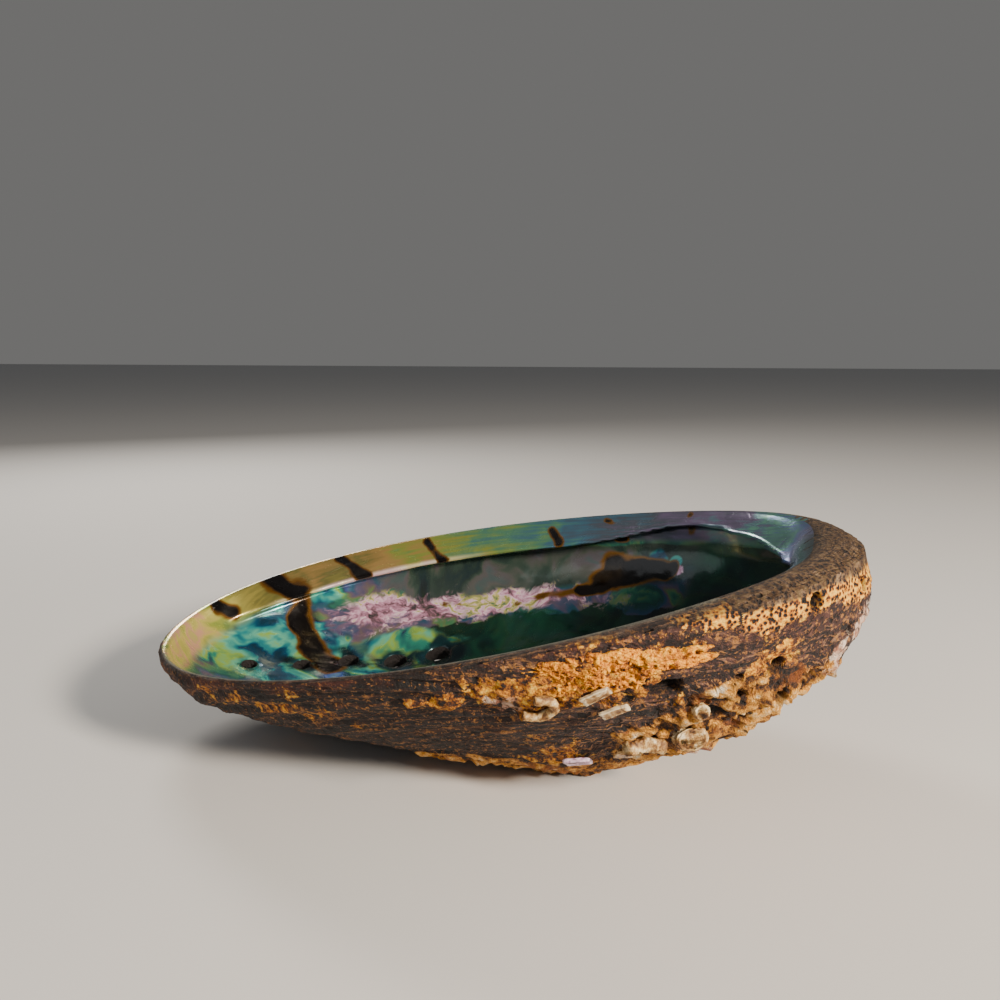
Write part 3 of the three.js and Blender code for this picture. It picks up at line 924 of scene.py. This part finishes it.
# Takes a form from the shell's millimetres into the part and makes it a piece.
def grown_piece(name, form, finish):
    low, high = [Vector(corner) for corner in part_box(name)]
    form.transform(SETTLE)
    for axis in range(3):
        least = min(vertex.co[axis] for vertex in form.verts)
        most = max(vertex.co[axis] for vertex in form.verts)
        new_least, new_most = max(least, low[axis]), min(most, high[axis])
        for vertex in form.verts:
            share = (vertex.co[axis] - least) / (most - least)
            vertex.co[axis] = new_least + share * (new_most - new_least)
    for face in form.faces:
        face.smooth = True
    mesh = bpy.data.meshes.new(name + "_grown")
    form.to_mesh(mesh)
    form.free()
    mesh.materials.append(finish)
    piece = bpy.data.objects.new(name + "_grown", mesh)
    bpy.context.collection.objects.link(piece)
    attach(piece, "root")
    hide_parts(name)


square_hollow = outside(*SQUARE_BURROW[:2])
form = paired_sheets(MAT_CELLS, 0)
for vertex in form.verts:
    x, y = vertex.co.x, vertex.co.y
    ring = max(abs(x), abs(y))
    turn = radians(square_to_wall(x, y)[0])
    ragged = 1 + 0.1 * sin(3 * turn + 1) + 0.07 * sin(5 * turn)
    fray = 1 - 0.3 * abs(noise.fractal(Vector((2.5 * cos(turn), 2.5 * sin(turn), 1)), 0.6, 2.2, 4))
    bearing = MAT_BEARING + MAT_HALF_BEARING * ragged * fray * ring * cos(turn)
    level = MAT_LEVEL - MAT_HALF_LEVEL * ragged * fray * ring * sin(turn)
    there = perch(bearing, level)
    place, out = there.translation, there.col[1].to_3d()
    if vertex.co.z < 0:
        vertex.co = place - out * 0.6
        continue
    clumps = noise.fractal(place * 0.45, 0.7, 2.2, 4)
    crumbs = noise.fractal(place * 1.9, 0.8, 2.1, 3)
    thin_left = smooth(0.35, 1.1, -ring * cos(turn) + 0.5 * clumps)
    pore = smooth(0.32, 0.2, noise.voronoi(place * 0.42)[0][0])
    height = MAT_THICKNESS * (0.75 + 0.7 * clumps + 0.34 * crumbs) * sqrt(1 - 0.92 * ring**2)
    height -= 1.3 * thin_left + 0.9 * pore
    height -= 3 * (1 - smooth(3.2, 6, (place - square_hollow).length))
    vertex.co = place + out * max(height, -0.55)

sponge = start_finish("sponge_crumb")
where = put(sponge, "TexCoord", {}).outputs["Object"]
clumps = grain(sponge, where, 420, 4, 0.7)
crumbs = grain(sponge, where, 1300, 3, 0.75)
mixed = add_share(sponge, crumbs, 0.5, times(sponge, clumps, 0.5))
# The orange crumb is darkest where its bump is low: painted shade in its hollows.
colour = ramp(sponge, mixed, [
    (0.37, (0.05, 0.014, 0.002)), (0.43, (0.30, 0.095, 0.007)), (0.49, (0.68, 0.27, 0.014)),
    (0.55, (0.88, 0.43, 0.028)), (0.64, (0.95, 0.64, 0.15)),
])
stain = step(sponge, grain(sponge, where, 110, 4, 0.6), 0.54, 0.66)
colour = blend(sponge, times(sponge, stain, 0.55), colour, (0.22, 0.07, 0.018))
rich = put(sponge, "Gamma", {"Color": colour, "Gamma": 1.2}).outputs["Color"]
dress(sponge, rich, mixed, 0.0012, 1.0, 0.92)
grown_piece("sponge_mat", form, sponge)

# ---------------------------------------------------------------------------------
# Worm tubes: chalky lime tubes that worms built on the shell, ringed by growth and
# open at the mouth. One hook, one bent tube and two low cups round worm holes.

RINGS_PER_TUBE = 46
HOOK = ((-3, 0, 2.4), (0, 0, 3), (2.8, 0.1, 1), (2.4, 0.3, -1.8), (-0.2, 0.6, -2.6))
BENT = ((3.8, 0.2, 1.4), (1.5, 0.1, 0.6), (-1.6, 0.3, 0.4), (-3.8, 1.4, -0.6))
OVAL_CUP = ((0, -0.6, 0.8), (0, 0.5, 0), (0, 1.5, -1.2))
SMALL_CUP = ((0, -0.6, 0.6), (0, 0.4, 0), (0, 1.3, -0.9))


def along_path(points, share):
    last = len(points) - 1
    k = min(int(share * last), last - 1)
    u = share * last - k
    a, b, c, d = [Vector(points[min(max(n, 0), last)]) for n in (k - 1, k, k + 1, k + 2)]
    return 0.5 * (2 * b + (c - a) * u + (2 * a - 5 * b + 4 * c - d) * u**2
                  + (3 * b - a - 3 * c + d) * u**3)


# A tube wall along a path: two open cylinders joined at both ends. The sides lie along
# "side" where it is square to the path, so that a cup can be stretched that way.
def tube_wall(path, radius, bore, side, stretch, place):
    form = bmesh.new()
    for size in (1, 0.5):
        bmesh.ops.create_cone(form, segments=32, radius1=size, radius2=size, depth=1)
    mouth = [e for e in form.edges if e.is_boundary and e.verts[0].co.z > 0]
    bmesh.ops.bridge_loops(form, edges=mouth)
    bmesh.ops.bridge_loops(form, edges=[e for e in form.edges if e.is_boundary])
    uprights = [e for e in form.edges if abs(e.verts[0].co.z - e.verts[1].co.z) > 0.5]
    bmesh.ops.subdivide_edges(form, edges=uprights, cuts=RINGS_PER_TUBE)
    bore_shades = form.verts.layers.float.new("bore")
    for vertex in form.verts:
        share = vertex.co.z + 0.5
        outer = hypot(vertex.co.x, vertex.co.y) > 0.75
        spin = atan2(vertex.co.y, vertex.co.x)
        middle = along_path(path, share)
        ahead = along_path(path, min(share + 0.02, 1)) - along_path(path, max(share - 0.02, 0))
        ahead.normalize()
        across = (Vector(side) - ahead * ahead.dot(Vector(side))).normalized()
        third = ahead.cross(across)
        size = bore
        if outer:
            rings = abs(noise.noise(Vector((share * 16, 3, radius))))
            rough = noise.fractal(middle + 2 * radius * Vector((cos(spin), sin(spin), 0)), 0.8, 2.1, 3)
            size = radius * (0.9 + 0.16 * rings + 0.12 * rough) * (1 - 0.1 * smooth(0.93, 1, share))
        else:
            size = bore * (1 + 0.12 * smooth(0.9, 1, share))
            # The inner wall is marked for painted shade, fading out at the mouth.
            vertex[bore_shades] = 1 - smooth(0.95, 1, share)
        vertex.co = middle + size * (across * cos(spin) * stretch + third * sin(spin))
    bmesh.ops.recalc_face_normals(form, faces=form.faces)
    form.transform(place)
    return form


lime = start_finish("worm_lime")
where = put(lime, "TexCoord", {}).outputs["Object"]
mottle = grain(lime, where, 420, 5, 0.65)
fine = grain(lime, where, 1500, 3, 0.7)
colour = ramp(lime, mottle, [
    (0.36, (0.07, 0.028, 0.008)), (0.44, (0.30, 0.16, 0.05)), (0.52, (0.56, 0.39, 0.18)),
    (0.64, (0.82, 0.72, 0.52)),
])
grime = step(lime, fine, 0.56, 0.66)
colour = blend(lime, times(lime, grime, 0.5), colour, (0.28, 0.14, 0.06))
# Painted dark shade inside the bores.
colour = blend(lime, read(lime, "bore"), colour, (0.03, 0.013, 0.007))
height = add_share(lime, fine, 0.5, mottle)
rich = put(lime, "Gamma", {"Color": colour, "Gamma": 1.4}).outputs["Color"]
dress(lime, rich, height, 0.0006, 0.7, 0.6)

# Each: path, radius, bore, side and stretch, then bearing, level and height of its seat.
ALONG_RIM, OUT = (1, 0, 0), (0, 1, 0)
TUBES = {
    "worm_tube_hooked": (HOOK, 0.95, 0.5, OUT, 1, (286, 0.205, 1.5)),
    "worm_tube_bent": (BENT, 1.55, 0.95, OUT, 1, (303, 0.4, 2)),
    "worm_cup_oval": (OVAL_CUP, 2.6, 1.8, ALONG_RIM, 1.35, (312, 0.39, 0.45)),
    "worm_cup_small": (SMALL_CUP, 1.65, 1.0, ALONG_RIM, 1.1, (311, 0.294, 0.4)),
}
for name, (path, radius, bore, side, stretch, place) in TUBES.items():
    form = tube_wall(path, radius, bore, side, stretch, perch(*place))
    grown_piece(name, form, lime)

# ---------------------------------------------------------------------------------
# Flakes of broken shell caught in the growths: two clear, horn-like splinters stuck
# on the sponge, a lilac flake of nacre and an amber one, held by the crust.

FLAKE_CUTS = 9
ON_SPONGE = 1.9


# A slab split along its length: long edges ragged, corners broken off, a little cupped.
def flake(length, width, thickness, place):
    form = bmesh.new()
    bmesh.ops.create_cube(form, size=1)
    bmesh.ops.subdivide_edges(form, edges=form.edges[:], cuts=FLAKE_CUTS, use_grid_fill=True)
    edges = form.verts.layers.float.new("edge")
    for vertex in form.verts:
        x, y, z = vertex.co
        chipped = 0.07 * noise.noise(Vector((x * 5, z * 2, length + width)))
        taper = 1 - 0.3 * smooth(0.1, 0.5, x)
        splinter = noise.noise(Vector((x * 0.6, z * 9, width)))
        cupped = 0.25 * (2 * z) ** 2
        edge = 1 - 0.35 * smooth(0.42, 0.5, max(abs(x), abs(z)))
        vertex[edges] = 2 * max(abs(x), abs(z))
        vertex.co = Vector((
            length * (x + 0.5 * chipped + 0.06 * splinter * smooth(0.3, 0.5, abs(x))),
            thickness * (0.5 + y * edge + cupped * 0.5 + 0.12 * splinter),
            width * taper * (z + chipped),
        ))
    form.transform(place)
    return form


def flake_finish(name, dark, mid, light, clear, gloss):
    finish = start_finish(name)
    where = put(finish, "TexCoord", {}).outputs["Object"]
    cloud = grain(finish, where, 500, 4, 0.6, 1.0)
    thin = step(finish, read(finish, "edge"), 0.62, 0.95)
    mixed = add_share(finish, thin, 0.2, cloud)
    colour = ramp(finish, mixed, [(0.40, dark), (0.54, mid), (0.70, light)])
    surface = dress(finish, colour, cloud, 0.0006, 0.5, gloss)
    surface.inputs["Transmission Weight"].default_value = clear
    return finish


horn = flake_finish("clear_horn", (0.16, 0.07, 0.02), (0.44, 0.26, 0.10), (0.90, 0.76, 0.50), 0.3, 0.15)
lilac = flake_finish("lilac_nacre", (0.08, 0.03, 0.05), (0.40, 0.22, 0.34), (0.80, 0.62, 0.74), 0, 0.24)
amber = flake_finish("amber_horn", (0.10, 0.045, 0.015), (0.42, 0.22, 0.07), (0.72, 0.50, 0.24), 0, 0.16)

# Each: length, width, thickness, finish, slot, then bearing, level, height and twist.
FLAKES = {
    "clear_chip_upper": (5.7, 2.1, 0.8, horn, "chip", (294, 0.172, ON_SPONGE, 0.5)),
    "clear_chip_lower": (5.4, 2.1, 0.8, horn, "chip", (296.5, 0.235, ON_SPONGE, 0.45)),
    "nacre_chip": (5.4, 3.5, 0.9, lilac, "nacre", (289.5, 0.5, 0.55, 0.2)),
    "amber_chip": (4.5, 2.9, 0.9, amber, "chip", (301, 0.495, 0.55, -0.3)),
}
for name, (length, width, thickness, finish, slot, place) in FLAKES.items():
    grown_piece(name, flake(length, width, thickness, perch(*place)), finish)

# ---------------------------------------------------------------------------------
# The table top and the room. A plain pale top carries the shell; a warm key lamp at the
# right front, a back lamp and a fill lamp light it in a dim pale room.

TABLE_SIZE = 8
bpy.ops.mesh.primitive_plane_add(size=TABLE_SIZE)
table = bpy.context.object
table.name = "table_top"
pale = start_finish("pale_floor")
surface = pale.node_tree.nodes["Principled BSDF"]
surface.inputs["Base Color"].default_value = (0.72, 0.70, 0.67, 1)
surface.inputs["Roughness"].default_value = 0.8
table.data.materials.append(pale)

# The camera looks a little down on the near side. Its place is in millimetres.
view_yaw, view_pitch = 0.2529, 0.153484
view_distance, view_height = 222.2, 91.1926
view_middle = Vector((-12.6314, 1.353, 0))
eye = view_middle + Vector((view_distance * sin(view_yaw), -view_distance * cos(view_yaw), view_height))
camera_data = bpy.data.cameras.new("camera")
camera_data.lens = 36
camera_data.sensor_width = 36
camera = bpy.data.objects.new("camera", camera_data)
camera.location = eye * MM
camera.rotation_euler = (pi / 2 - view_pitch, 0, view_yaw)
bpy.context.collection.objects.link(camera)
bpy.context.scene.camera = camera

LAMP_AIM = Vector((0, 0, 0.03))


def lamp(name, place, size, power, colour):
    data = bpy.data.lights.new(name, "AREA")
    data.size = size
    data.energy = power
    data.color = colour
    light = bpy.data.objects.new(name, data)
    light.location = place
    light.rotation_euler = (LAMP_AIM - Vector(place)).to_track_quat("-Z", "Y").to_euler()
    bpy.context.collection.objects.link(light)


lamp("key_lamp", (0.66, -0.40, 0.36), 0.13, 18, (1.0, 0.89, 0.76))
lamp("back_lamp", (-0.42, 0.45, 0.40), 0.2, 2.4, (1.0, 0.95, 0.88))
lamp("fill_lamp", (-0.5, -0.5, 0.4), 0.6, 0.9, (0.9, 0.95, 1.0))

# The air lights the shell dimly, and shows a little paler behind it.
world = bpy.data.worlds.new("room")
world.use_nodes = True
nodes, links = world.node_tree.nodes, world.node_tree.links
lit_air = nodes["Background"]
lit_air.inputs["Color"].default_value = (0.8, 0.82, 0.85, 1)
lit_air.inputs["Strength"].default_value = 0.13
pale_air = nodes.new("ShaderNodeBackground")
pale_air.inputs["Color"].default_value = (0.8, 0.79, 0.77, 1)
pale_air.inputs["Strength"].default_value = 0.2
choice = nodes.new("ShaderNodeMixShader")
links.new(nodes.new("ShaderNodeLightPath").outputs["Is Camera Ray"], choice.inputs[0])
links.new(lit_air.outputs[0], choice.inputs[1])
links.new(pale_air.outputs[0], choice.inputs[2])
links.new(choice.outputs[0], nodes["World Output"].inputs[0])
bpy.context.scene.world = world
